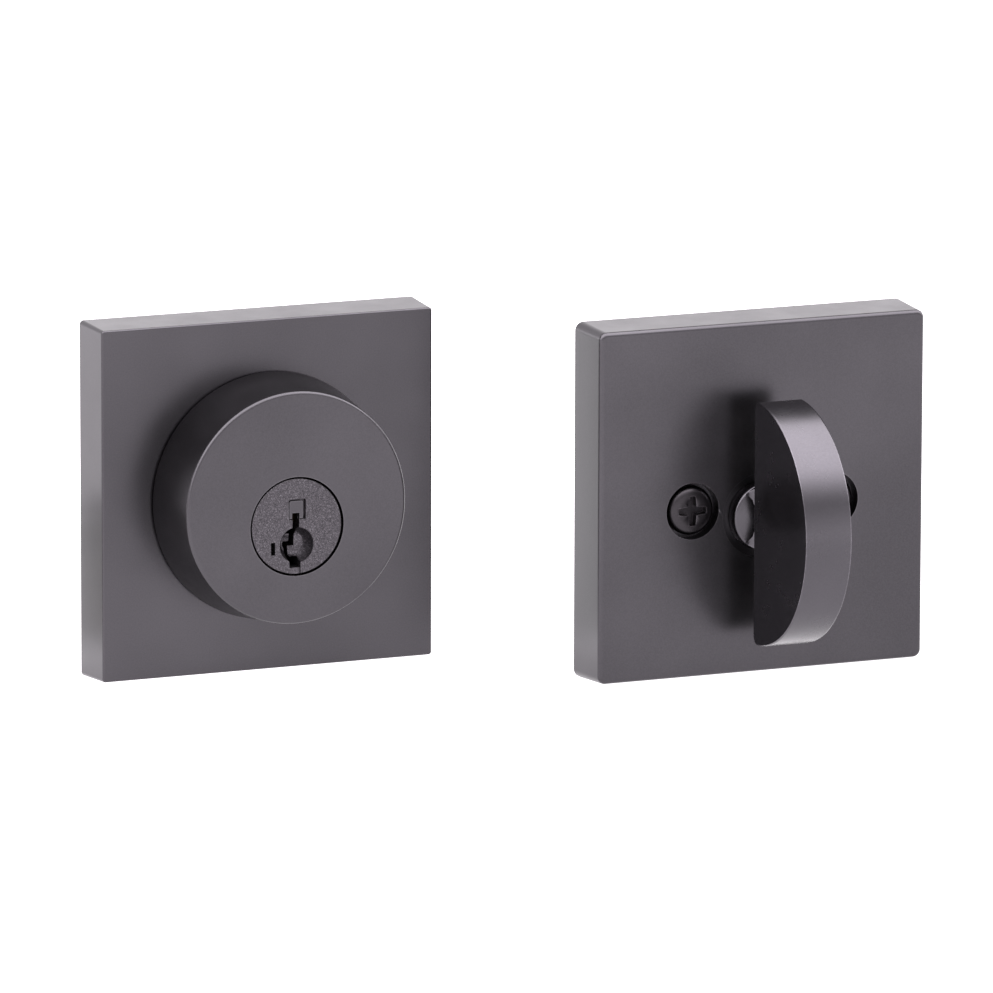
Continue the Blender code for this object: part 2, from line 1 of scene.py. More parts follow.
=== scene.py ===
"""The looks of a single-cylinder deadbolt lock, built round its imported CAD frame.

The pieces that show are rebuilt with finer edges and detail in the place of their CAD nodes, some more
are softened copies, and the other nodes keep their shapes. All of them get a procedural metal or nylon.
Local dimensions are in millimetres from the lock axis of each assembly, with Y along the axis: the
outside trim, the inside trim and the latch."""

import json
import math

import bmesh
import bpy
from mathutils import Matrix, Vector

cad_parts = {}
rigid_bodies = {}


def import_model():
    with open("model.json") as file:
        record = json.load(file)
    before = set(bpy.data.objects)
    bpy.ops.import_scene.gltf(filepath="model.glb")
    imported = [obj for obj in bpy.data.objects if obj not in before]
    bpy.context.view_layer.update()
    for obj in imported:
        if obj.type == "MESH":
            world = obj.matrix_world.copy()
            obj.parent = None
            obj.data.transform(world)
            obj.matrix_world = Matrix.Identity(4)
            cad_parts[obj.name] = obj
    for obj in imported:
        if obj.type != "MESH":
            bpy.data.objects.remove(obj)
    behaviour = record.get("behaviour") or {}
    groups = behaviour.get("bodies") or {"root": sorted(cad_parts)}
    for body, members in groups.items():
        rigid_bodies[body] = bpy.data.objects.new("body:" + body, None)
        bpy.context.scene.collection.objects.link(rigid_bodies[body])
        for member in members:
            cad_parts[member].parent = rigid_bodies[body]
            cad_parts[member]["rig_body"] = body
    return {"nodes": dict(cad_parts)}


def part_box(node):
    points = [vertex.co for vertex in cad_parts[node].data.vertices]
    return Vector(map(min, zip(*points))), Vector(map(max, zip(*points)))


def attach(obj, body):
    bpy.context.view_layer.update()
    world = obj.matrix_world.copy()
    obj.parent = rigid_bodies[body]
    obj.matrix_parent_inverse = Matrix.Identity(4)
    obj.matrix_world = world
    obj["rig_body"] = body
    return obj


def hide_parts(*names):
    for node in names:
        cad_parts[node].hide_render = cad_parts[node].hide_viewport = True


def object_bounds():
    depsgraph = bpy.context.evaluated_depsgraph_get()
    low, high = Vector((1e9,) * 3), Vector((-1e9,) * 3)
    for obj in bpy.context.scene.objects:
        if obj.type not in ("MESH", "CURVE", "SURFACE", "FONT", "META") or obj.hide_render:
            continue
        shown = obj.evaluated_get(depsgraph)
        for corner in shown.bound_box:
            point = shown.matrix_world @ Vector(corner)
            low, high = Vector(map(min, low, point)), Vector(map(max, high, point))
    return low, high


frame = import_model()
cad_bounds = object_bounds()

MM = 0.001
SLOT_OF = {name: node.material_slots[0].material.name.split(".")[0]
           for name, node in frame["nodes"].items()}


# ---------------------------------------------------------------- where the assemblies stand


def node_box(name):
    """The lowest and highest corner of a CAD node, in millimetres."""
    low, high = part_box(name)
    return Vector(low) / MM, Vector(high) / MM


OUTER_LOW, OUTER_HIGH = node_box("exterior_rose")
INNER_LOW, INNER_HIGH = node_box("interior_rose")
COLLAR_LOW, COLLAR_HIGH = node_box("latch_collar")
PLUG_LOW, PLUG_HIGH = node_box("plug")

LOCK_AXIS = (PLUG_LOW + PLUG_HIGH) / 2
ROSE_BACK_HALF = (OUTER_HIGH.x - OUTER_LOW.x) / 2
ROSE_UP = (OUTER_LOW.z + OUTER_HIGH.z) / 2 - LOCK_AXIS.z
OUTER_DEPTH = OUTER_HIGH.y - OUTER_LOW.y
INNER_DEPTH = INNER_HIGH.y - INNER_LOW.y
BACKSET = 60.3

OUTER = Vector((LOCK_AXIS.x, OUTER_HIGH.y, LOCK_AXIS.z))
INNER = Vector(((INNER_LOW.x + INNER_HIGH.x) / 2, INNER_HIGH.y, (INNER_LOW.z + INNER_HIGH.z) / 2 - ROSE_UP))
SCREW_LOW, SCREW_HIGH = node_box("through_screw_2")
SCREW_X = (SCREW_LOW.x + SCREW_HIGH.x) / 2 - INNER.x
SCREW_Z = (SCREW_LOW.z + SCREW_HIGH.z) / 2 - INNER.z
COLLAR = (COLLAR_LOW + COLLAR_HIGH) / 2
LATCH = Vector((COLLAR_LOW.x + BACKSET, COLLAR.y, COLLAR.z))


# ---------------------------------------------------------------- shapes


def mesh_object(name, bm):
    """A linked object made from a bmesh, without doubled points and with its normals outward."""
    bmesh.ops.remove_doubles(bm, verts=bm.verts, dist=1e-7)
    bmesh.ops.recalc_face_normals(bm, faces=bm.faces)
    mesh = bpy.data.meshes.new(name)
    bm.to_mesh(mesh)
    bm.free()
    obj = bpy.data.objects.new(name, mesh)
    bpy.context.scene.collection.objects.link(obj)
    return obj


def loft(name, rings, origin, closed=False):
    """A solid through rings of points, in millimetres from origin.

    The rings are equally long, apart from a ring of one point, which is a tip. Closed joins the last
    ring to the first."""
    bm = bmesh.new()
    rows = [[bm.verts.new((Vector(p) + origin) * MM) for p in ring] for ring in rings]
    pairs = list(zip(rows, rows[1:]))
    if closed:
        pairs.append((rows[-1], rows[0]))
    for low, high in pairs:
        count = max(len(low), len(high))
        for i in range(count):
            j = (i + 1) % count
            corners = [low[i % len(low)], low[j % len(low)], high[j % len(high)], high[i % len(high)]]
            bm.faces.new(list(dict.fromkeys(corners)))
    if not closed:
        for row in (rows[0], rows[-1]):
            if len(row) > 2:
                bm.faces.new(row)
    return mesh_object(name, bm)


def on_axis(axis, radius, along, angle):
    """The point that stands at a radius and an angle round an axis."""
    a = radius * math.cos(angle)
    b = radius * math.sin(angle)
    return {"X": (along, a, b), "Y": (a, along, b), "Z": (a, b, along)}[axis]


def lathe(name, profile, origin, axis="Y", centre=(0, 0, 0), sides=96):
    """A solid turned from (radius, along) points. Without ends on the axis it is a ring."""
    rings = []
    for radius, along in profile:
        count = 1 if radius == 0 else sides
        spots = [on_axis(axis, radius, along, 2 * math.pi * i / sides) for i in range(count)]
        rings.append([tuple(Vector(p) + Vector(centre)) for p in spots])
    solid = profile[0][0] == 0 and profile[-1][0] == 0
    return loft(name, rings, origin, closed=not solid)


def rod(name, radius, low, high, origin, axis="Y", centre=(0, 0, 0), sides=96):
    """A plain cylinder from low to high along its axis."""
    return lathe(name, [(0, low), (radius, low), (radius, high), (0, high)], origin, axis, centre, sides)


def prism(name, outline, low, high, origin, axis="Y"):
    """An outline of (a, b) points carried from low to high along the axis."""
    place = {
        "X": lambda a, b, along: (along, a, b),
        "Y": lambda a, b, along: (a, along, b),
        "Z": lambda a, b, along: (a, b, along),
    }[axis]
    return loft(name, [[place(a, b, along) for a, b in outline] for along in (low, high)], origin)


def arc(centre, radius, start, end, steps):
    """Points of an arc; start and end are in degrees."""
    turns = [math.radians(start + (end - start) * i / steps) for i in range(steps + 1)]
    return [(centre[0] + radius * math.cos(t), centre[1] + radius * math.sin(t)) for t in turns]


def rounded(half_a, half_b, radius, steps=8, centre=(0, 0)):
    """The outline of a rectangle with round corners."""
    a, b = half_a - radius, half_b - radius
    corners = ((a, b, 0), (-a, b, 90), (-a, -b, 180), (a, -b, 270))
    outline = []
    for x, y, turn in corners:
        outline += arc((x + centre[0], y + centre[1]), radius, turn, turn + 90, steps)
    return outline


def rectangle(a, b):
    """The outline of a rectangle from its two ranges."""
    return [(a[0], b[0]), (a[1], b[0]), (a[1], b[1]), (a[0], b[1])]


def fillet_steps(radius, steps=6):
    """(inset, rise) pairs of a quarter-round edge, from the side to the face."""
    turns = [math.pi / 2 * i / steps for i in range(steps + 1)]
    return [(radius * (1 - math.cos(t)), radius * math.sin(t)) for t in turns]


def rounded_points(corners, steps=4):
    """A closed outline with each corner (a, b, radius) turned into an arc."""
    outline = []
    count = len(corners)
    for i, (a, b, radius) in enumerate(corners):
        here = Vector((a, b))
        if radius == 0:
            outline.append((a, b))
            continue
        before = (Vector(corners[i - 1][:2]) - here).normalized()
        after = (Vector(corners[(i + 1) % count][:2]) - here).normalized()
        half = before.angle(after) / 2
        reach = radius / math.tan(half)
        middle = here + (before + after).normalized() * (radius / math.sin(half))
        start = here + before * reach - middle
        end = here + after * reach - middle
        sweep = math.pi - 2 * half
        side = 1 if start.x * end.y - start.y * end.x > 0 else -1
        for k in range(steps + 1):
            turn = Matrix.Rotation(side * sweep * k / steps, 2)
            outline.append(tuple(middle + turn @ start))
    return outline


def carve(piece, tools, operation="DIFFERENCE"):
    """Cuts the tools from a piece, or joins them on, and removes the tools."""
    for tool in tools:
        modifier = piece.modifiers.new(tool.name, "BOOLEAN")
        modifier.operation = operation
        modifier.object = tool
        modifier.solver = "EXACT"
    settle(piece)
    for tool in tools:
        bpy.data.objects.remove(tool)


def settle(piece):
    """Turns a piece's modifiers into its mesh."""
    bpy.context.view_layer.update()
    graph = bpy.context.evaluated_depsgraph_get()
    final = bpy.data.meshes.new_from_object(piece.evaluated_get(graph))
    piece.modifiers.clear()
    piece.data = final
    bm = bmesh.new()
    bm.from_mesh(final)
    bmesh.ops.remove_doubles(bm, verts=bm.verts, dist=2e-6)
    bmesh.ops.dissolve_degenerate(bm, edges=bm.edges, dist=2e-6)
    bm.to_mesh(final)
    bm.free()


def break_edges(piece, width, angle=32):
    """Small rounds on the sharp edges, as tumbling and plating leave them."""
    modifier = piece.modifiers.new("broken_edges", "BEVEL")
    modifier.width = width * MM
    modifier.segments = 2
    modifier.limit_method = "ANGLE"
    modifier.angle_limit = math.radians(angle)
    modifier.use_clamp_overlap = True
    modifier.miter_outer = "MITER_ARC"
    settle(piece)


def shade(piece):
    """Smooth shading that keeps edges above 38 degrees sharp and flat faces flat."""
    piece.data.shade_smooth()
    piece.data.set_sharp_from_angle(angle=math.radians(38))
    normals = piece.modifiers.new("even_shading", "WEIGHTED_NORMAL")
    normals.keep_sharp = True
    normals.weight = 80


def mount(piece, body, slot, material, *nodes):
    """Dresses a piece, hangs it on its body and lets it stand for its CAD nodes."""
    piece.data.materials.clear()
    piece.data.materials.append(material)
    shade(piece)
    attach(piece, body)
    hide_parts(*nodes)


# ---------------------------------------------------------------- materials


class Nodes:
    """A short way to write a material's node tree."""

    def __init__(self, name):
        self.material = bpy.data.materials.new(name)
        self.material.use_nodes = True
        self.tree = self.material.node_tree
        self.shader = self.tree.nodes["Principled BSDF"]
        self.object = self.add("ShaderNodeTexCoord").outputs["Object"]

    def add(self, kind, **settings):
        node = self.tree.nodes.new(kind)
        for key, value in settings.items():
            setattr(node, key, value)
        return node

    def feed(self, socket, value):
        if isinstance(value, bpy.types.NodeSocket):
            self.tree.links.new(value, socket)
        else:
            socket.default_value = value

    def stretched(self, scale):
        node = self.add("ShaderNodeMapping")
        self.feed(node.inputs["Vector"], self.object)
        node.inputs["Scale"].default_value = scale
        return node.outputs["Vector"]

    def noise(self, scale, detail=3.0, rough=0.55, vector=None):
        node = self.add("ShaderNodeTexNoise")
        self.feed(node.inputs["Vector"], vector or self.object)
        node.inputs["Scale"].default_value = scale
        node.inputs["Detail"].default_value = detail
        node.inputs["Roughness"].default_value = rough
        return node.outputs["Fac"]

    def cells(self, scale):
        node = self.add("ShaderNodeTexVoronoi")
        self.feed(node.inputs["Vector"], self.object)
        node.inputs["Scale"].default_value = scale
        return node.outputs["Color"]

    def spread(self, value, low, high, start=0.0, end=1.0):
        """Maps value from start..end to low..high."""
        node = self.add("ShaderNodeMapRange")
        self.feed(node.inputs["Value"], value)
        for key, number in (("From Min", start), ("From Max", end), ("To Min", low), ("To Max", high)):
            node.inputs[key].default_value = number
        return node.outputs["Result"]

    def combine(self, a, b, operation):
        node = self.add("ShaderNodeMath", operation=operation)
        self.feed(node.inputs[0], a)
        self.feed(node.inputs[1], b)
        return node.outputs["Value"]

    def blend(self, factor, a, b):
        """Mixes two colours; inputs 6 and 7 and output 2 are the node's colour sockets."""
        node = self.add("ShaderNodeMix", data_type="RGBA")
        self.feed(node.inputs["Factor"], factor)
        self.feed(node.inputs[6], a)
        self.feed(node.inputs[7], b)
        return node.outputs[2]

    def bump(self, height, strength, distance, before=None):
        node = self.add("ShaderNodeBump")
        self.feed(node.inputs["Height"], height)
        node.inputs["Strength"].default_value = strength
        node.inputs["Distance"].default_value = distance * MM
        if before:
            self.feed(node.inputs["Normal"], before)
        return node.outputs["Normal"]

    def edges(self, radius):
        """0 on flats and 1 where an edge turns within radius, in millimetres."""
        soft = self.add("ShaderNodeBevel", samples=4)
        soft.inputs["Radius"].default_value = radius * MM
        plain = self.add("ShaderNodeNewGeometry").outputs["Normal"]
        dot = self.add("ShaderNodeVectorMath", operation="DOT_PRODUCT")
        self.feed(dot.inputs[0], soft.outputs["Normal"])
        self.feed(dot.inputs[1], plain)
        return self.spread(dot.outputs["Value"], 1.0, 0.0, 0.80, 0.98)


def rgb(r, g, b):
    return (r, g, b, 1.0)


def graphite(name, base, roughness, grain, wear_and_highlight):
    """A thin satin coating: near-black metal with a violet cast, fine grain and brightened edges: burnished
    wear, and where the gain is high a painted highlight along them.
    """
    n = Nodes(name)
    contrast = 0.16
    light = tuple(c * (1 + contrast) for c in base)
    dark = tuple(c * (1 - contrast) for c in base)
    drift = n.spread(n.noise(28, 2.0), 0.0, 0.5, 0.35, 0.65)
    powder = n.spread(n.noise(3600, 3.0, 0.7), 0.0, 0.5, 0.3, 0.7)
    colour = n.blend(n.combine(drift, powder, "ADD"), rgb(*dark), rgb(*light))
    # Edges brightened in patches: partly burnished wear, partly a painted highlight line along the edges.
    edge_patchiness = n.spread(n.noise(900, 2.0), 0.55, 0.95, 0.4, 0.6)
    bright_edges = n.combine(n.edges(0.4), edge_patchiness, "MULTIPLY")
    colour = n.blend(bright_edges, colour, rgb(*(min(c * wear_and_highlight, 1.0) for c in base)))
    n.feed(n.shader.inputs["Base Color"], colour)
    n.shader.inputs["Metallic"].default_value = 1.0
    patch = n.spread(n.noise(150, 4.0), roughness - 0.025, roughness + 0.025, 0.3, 0.7)
    n.feed(n.shader.inputs["Roughness"], patch)
    fine = n.bump(n.noise(2600, 2.0, 0.5), grain, 0.02)
    n.feed(n.shader.inputs["Normal"], n.bump(n.noise(420, 2.0), grain * 0.4, 0.03, fine))
    return n.material


def machined(name, base, roughness, streak, tarnish):
    """Bright metal with fine tool or rolling marks along X and faint tarnish."""
    n = Nodes(name)
    marks = n.noise(1.0, 3.0, 0.6, n.stretched((90, 3200, 3200)))
    cloud = n.spread(n.noise(120, 4.0), 0.0, 1.0, 0.4, 0.7)
    colour = n.blend(cloud, rgb(*base), rgb(*tarnish))
    bright_edges = n.edges(0.25)
    colour = n.blend(bright_edges, colour, rgb(*(min(c * 1.25, 1.0) for c in base)))
    n.feed(n.shader.inputs["Base Color"], colour)
    n.shader.inputs["Metallic"].default_value = 1.0
    n.feed(n.shader.inputs["Roughness"], n.spread(marks, roughness - 0.08, roughness + 0.10, 0.3, 0.7))
    n.feed(n.shader.inputs["Normal"], n.bump(marks, streak, 0.01))
    return n.material


def zinc_grain(name, base, roughness):
    """Unpolished sintered zinc: coarse bright grains."""
    n = Nodes(name)
    grains = n.cells(6400)
    tone = n.spread(grains, 0.50, 1.0, 0.1, 0.7)
    flecks = n.spread(grains, 0.0, 1.0, 0.68, 0.98)
    fine = n.noise(5200, 3.0, 0.7)
    colour = n.blend(tone, rgb(0, 0, 0), rgb(*base))
    colour = n.blend(flecks, colour, rgb(*(c * 2.1 for c in base)))
    n.feed(n.shader.inputs["Base Color"], colour)
    n.shader.inputs["Metallic"].default_value = 1.0
    n.feed(n.shader.inputs["Roughness"], n.spread(fine, roughness - 0.08, roughness + 0.08, 0.3, 0.7))
    coarse = n.bump(n.noise(3000, 3.0, 0.7), 0.55, 0.05)
    n.feed(n.shader.inputs["Normal"], n.bump(grains, 0.25, 0.03, coarse))
    return n.material


def moulded(name, base):
    """Natural nylon with a faint mould texture."""
    n = Nodes(name)
    cloud = n.spread(n.noise(200, 3.0), 0.0, 1.0, 0.35, 0.7)
    colour = n.blend(cloud, rgb(*base), rgb(*(c * 0.86 for c in base)))
    n.feed(n.shader.inputs["Base Color"], colour)
    n.feed(n.shader.inputs["Roughness"], n.spread(n.noise(900), 0.42, 0.58, 0.3, 0.7))
    n.shader.inputs["Subsurface Weight"].default_value = 0.08
    n.feed(n.shader.inputs["Normal"], n.bump(n.noise(2200), 0.15, 0.02))
    return n.material


# The last number brightens the edges: burnished wear and scuffs; on the burnished paddle it is high enough to
# paint a highlight line along the rim edges.
SATIN = graphite("satin_graphite", (0.0590, 0.0560, 0.0610), 0.30, 0.08, 2.0)
POLISHED = graphite("burnished_graphite", (0.0680, 0.0645, 0.0710), 0.26, 0.03, 3.0)
ZINC = zinc_grain("sintered_zinc", (0.074, 0.069, 0.076), 0.40)
STEEL = machined("plated_steel", (0.25, 0.245, 0.235), 0.34, 0.12, (0.20, 0.19, 0.165))
BRASS = machined("machined_brass", (0.33, 0.235, 0.105), 0.32, 0.15, (0.24, 0.165, 0.07))
SPRING = machined("spring_wire", (0.22, 0.22, 0.23), 0.28, 0.08, (0.16, 0.16, 0.17))
SCREW = graphite("black_oxide", (0.036, 0.033, 0.036), 0.33, 0.12, 3.0)
NYLON = moulded("natural_nylon", (0.52, 0.50, 0.44))

# Brass darkened for the pins and wafers: painted shade for their place deep inside the plug.
SHADED_BRASS = machined("shaded_brass", (0.10, 0.07, 0.035), 0.45, 0.15, (0.06, 0.04, 0.02))

FINISHES = {
    "satin_graphite": SATIN,
    "sintered_zinc": ZINC,
    "plated_steel": STEEL,
    "brass": BRASS,
    "spring_steel": SPRING,
    "black_screw": SCREW,
    "nylon": NYLON,
}


def dress_nodes():
    """Gives each CAD node the finish of its slot, and the pins and wafers inside the plug a dull brass,
    darkened as painted shade for their place deep in the plug.
    """
    for name, node in frame["nodes"].items():
        brass_in_painted_shade = name.startswith(("key_pin", "wafer"))
        for place in node.material_slots:
            place.material = SHADED_BRASS if brass_in_painted_shade else FINISHES[SLOT_OF[name]]


def softened(name, width):
    """A CAD node's own shape with small rounds on its sharp edges."""
    source = frame["nodes"][name]
    piece = bpy.data.objects.new(f"{name}_fine", source.data.copy())
    bpy.context.scene.collection.objects.link(piece)
    bm = bmesh.new()
    bm.from_mesh(piece.data)
    bmesh.ops.remove_doubles(bm, verts=bm.verts, dist=1e-6)
    bmesh.ops.dissolve_limit(bm, angle_limit=math.radians(0.5), verts=bm.verts, edges=bm.edges)
    bm.to_mesh(piece.data)
    bm.free()
    break_edges(piece, width)
    mount(piece, source["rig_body"], SLOT_OF[name], FINISHES[SLOT_OF[name]], name)


# ---------------------------------------------------------------- square roses


ROSE_DRAFT = 0.5
ROSE_WALL = 2.6
SCREW_HOLE_R = 2.4
SEAT_DEPTH = 2.8


def rose_block(name, origin, depth, corner, edge):
    """The drafted square plate with rounded corners and a rounded front edge."""
    front = -depth

    def ring(half, radius, y):
        return [(a, y, b) for a, b in rounded(half, half, radius, 8, (0, ROSE_UP))]

    rings = [ring(ROSE_BACK_HALF, corner + 0.2, 0.0)]
    for inset, rise in fillet_steps(edge):
        half = ROSE_BACK_HALF - ROSE_DRAFT - inset
        rings.append(ring(half, max(corner - inset, 0.12), front + edge - rise))
    return loft(name, rings, origin)


def outside_rose():
    """The outside trim's rose: hollow behind, with a round hole for the guard's spigot."""
    piece = rose_block("outside_rose", OUTER, OUTER_DEPTH, corner=0.6, edge=0.4)
    half = ROSE_BACK_HALF - ROSE_DRAFT - ROSE_WALL
    outline = rounded(half, half, 2.0, 6, (0, ROSE_UP))
    hollow = prism("rose_hollow", outline, ROSE_WALL - OUTER_DEPTH, 2, OUTER)
    hole = rod("rose_hole", 19.3, -OUTER_DEPTH - 1, 2, OUTER, centre=(0, 0, ROSE_UP))
    carve(piece, [hollow, hole])
    break_edges(piece, 0.15)
    mount(piece, "exterior", "satin_graphite", SATIN, "exterior_rose")


def inside_rose():
    """The inside trim's rose: a pocket above and below a web that carries the screws and the spindle."""
    web, back = 8.0, -4.0
    front = -INNER_DEPTH
    piece = rose_block("inside_rose", INNER, INNER_DEPTH, corner=1.5, edge=0.9)
    half = ROSE_BACK_HALF - ROSE_DRAFT - ROSE_WALL
    tools = []
    for low, high in ((ROSE_UP - half, -web), (web, ROSE_UP + half)):
        outline = rounded(half, (high - low) / 2, 2.0, 6, (0, (low + high) / 2))
        tools.append(prism(f"pocket_{low:.0f}", outline, front + ROSE_WALL, 2, INNER))
    tools.append(prism("web_relief", rectangle((-half, half), (-web - 2.5, web + 2.5)), back, 2, INNER))
    tools.append(rod("neck_recess", 8.0, front - 1, front + 1.0, INNER))
    tools.append(rod("spindle_hole", 5.3, front, 2, INNER, sides=64))
    for side in (-1, 1):
        spot = (side * SCREW_X, 0, SCREW_Z)
        tools.append(rod(f"screw_seat_{side}", 5.3, front - 1, front + SEAT_DEPTH, INNER, centre=spot))
        tools.append(rod(f"screw_hole_{side}", SCREW_HOLE_R, front, 2, INNER, centre=spot, sides=48))
    carve(piece, tools)
    break_edges(piece, 0.16)
    mount(piece, "interior", "satin_graphite", SATIN, "interior_rose")


# ---------------------------------------------------------------- outside trim


HOUSING_LOW, HOUSING_HIGH = node_box("cylinder_housing")
GUARD_FACE = HOUSING_LOW.y - OUTER.y
GUARD_BASE = -OUTER_DEPTH - 0.3
PLUG_FACE = PLUG_LOW.y - OUTER.y


def guard():
    """The tapered guard ring round the plug, its spigot and its screw posts."""
    face_r, edge, spigot_r = 21.8, 0.7, 19.0
    mouth_r, bore_r, post_r = 9.28, 10.9, 3.1
    base_r = (HOUSING_HIGH.x - HOUSING_LOW.x) / 2
    profile = [(0, GUARD_FACE)]
    profile += [(face_r - inset, GUARD_FACE + edge - rise) for inset, rise in reversed(fillet_steps(edge, 8))]
    profile += [(base_r - 0.02, GUARD_BASE - 0.45), (base_r - 0.3, GUARD_BASE - 0.1)]
    profile += [(spigot_r, GUARD_BASE - 0.1), (spigot_r, -0.5), (0, -0.5)]
    piece = lathe("guard", profile, OUTER, centre=(0, 0, ROSE_UP), sides=160)
    posts = []
    cuts = [
        rod("plug_mouth", mouth_r, GUARD_FACE - 1, GUARD_FACE + 3.2, OUTER, sides=128),
        rod("body_bore", bore_r, GUARD_FACE + 2.2, 1, OUTER),
    ]
    for side in (-1, 1):
        spot = (side * SCREW_X, 0, SCREW_Z)
        posts.append(rod(f"post_{side}", post_r, -1.5, 12.0, OUTER, centre=spot, sides=48))
        cuts.append(rod(f"post_hole_{side}", SCREW_HOLE_R, -4, 13, OUTER, centre=spot, sides=48))
    carve(piece, posts, "UNION")
    carve(piece, cuts)
    break_edges(piece, 0.14)
    mount(piece, "exterior", "satin_graphite", SATIN, "cylinder_housing")


def keyway():
    """The outline of the warded key slot in (x, z), seen from the front and given clockwise."""
    right = [(0.49, 2.5), (0.49, -1.1), (0.64, -1.1), (0.64, -1.8), (0.49, -1.8), (0.49, -4.1),
             (-0.82, -4.1), (-0.82, -6.0), (0.73, -6.0), (0.73, -7.8)]
    left = [(-1.46, -7.8), (-1.64, -4.6), (-1.90, -4.1), (-1.90, -3.2), (-0.55, -3.2), (-0.55, -1.8),
            (-1.37, -1.8), (-1.37, -1.1), (-0.86, -1.1), (-0.86, 2.5)]
    corners = [(a, b, 0.06) for a, b in right + left]
    return rounded_points(corners, 3)


def key_plug():
    """The turning plug: its grainy face with the dish, keyway, tool slot and cap recess."""
    radius, stub_r, groove_r = 8.95, 4.6, 3.9
    edge, end, rear = 0.22, 1.2, 5.6
    face = PLUG_FACE
    profile = [(0, face)]
    profile += [(radius - inset, face + edge - rise) for inset, rise in reversed(fillet_steps(edge, 4))]
    profile += [(radius, end), (stub_r, end), (stub_r, 3.4), (groove_r, 3.4), (groove_r, 4.4)]
    profile += [(stub_r, 4.4), (stub_r, rear), (0, rear)]
    piece = lathe("key_plug", profile, OUTER, sides=128)
    lug = arc((0, 0), 4.2, 60, 120, 6) + arc((0, 0), 2.0, 120, 60, 6)
    carve(piece, [prism("plug_lug", lug, 5.1, 7.2, OUTER)], "UNION")
    dish = [(0, face - 1), (3.5, face - 1), (3.34, face + 0.12), (3.05, face + 1.1), (2.2, face + 2.5)]
    dish += [(0, face + 3.0)]
    tools = [lathe("plug_dish", dish, OUTER, centre=(-0.05, 0, -3.5), sides=72)]
    recess = rounded_points([(-1.55, 5.1, 0.3), (-1.55, 1.3, 0.1), (1.8, 1.3, 0.1), (1.8, 5.1, 0.3)])
    tools.append(prism("cap_recess", recess, face - 1, face + 0.8, OUTER))
    tools.append(prism("foot_recess", rectangle((-1.46, 0.73), (-9.4, -7.6)), face - 1, face + 0.3, OUTER))
    tools.append(prism("key_slot", keyway(), face - 1, -2.6, OUTER))
    tool_slot = rounded(0.42, 1.18, 0.15, 3, (-4.72, -3.95))
    tools.append(prism("tool_slot", tool_slot, face - 1, face + 3.5, OUTER))
    tools.append(prism("sidebar_slot", rectangle((-9.5, -6.6), (-1.1, 1.1)), -20.1, -2.9, OUTER))
    first_pin, pin_pitch, top = -18.6, 3.6, 9.6
    for i in range(5):
        y = first_pin + pin_pitch * i
        tools.append(rod(f"chamber_{i}", 1.4, -1.8, top, OUTER, "Z", (0, y, 0), 24))
        slot = rectangle((-4.1, -2.2), (y - 0.9, y + 0.9))
        tools.append(prism(f"wafer_slot_{i}", slot, -4.3, top, OUTER, "Z"))
    carve(piece, tools)
    break_edges(piece, 0.1)
    mount(piece, "key_plug", "sintered_zinc", ZINC, "plug")


def cap():
    """The smooth block in the recess above the keyway."""
    face = PLUG_FACE + 0.02
    corners = [(-1.45, 4.8, 0.35), (-1.45, 1.45, 0.1), (-0.90, 1.45, 0.05), (-0.90, 2.5, 0.1),
               (0.53, 2.5, 0.1), (0.53, 1.45, 0.05), (1.25, 1.45, 0.1), (1.25, 4.8, 0.35)]
    piece = prism("slot_cap", rounded_points(corners, 4), face, face + 0.7, OUTER)
    break_edges(piece, 0.08)
    mount(piece, "key_plug", "sintered_zinc", SATIN, "keyway_cap")


# ---------------------------------------------------------------- inside trim


HEAD_SUNK = 0.05
TURN_LOW, TURN_HIGH = node_box("thumbturn")
TURN_R = (TURN_HIGH.z - TURN_LOW.z) / 2
TURN_THICK = 9.2
TURN_FLAT = TURN_LOW.y + TURN_R - INNER.y


def paddle_outline(inset):
    """A half disc in (y, z) with rounded back corners, drawn inset from the paddle's edge."""
    radius = TURN_R - inset
    flat = TURN_FLAT - inset
    corner = 1.6 - inset * 0.8
    bow = math.degrees(math.asin(corner / (radius - corner)))
    middle = math.sqrt((radius - corner) ** 2 - corner**2)
    outline = arc((flat - corner, middle), corner, 0, 90 + bow, 8)
    outline += arc((flat, 0), radius, 90 + bow, 270 - bow, 96)[1:-1]
    outline += arc((flat - corner, -middle), corner, 270 - bow, 360, 8)
    return outline


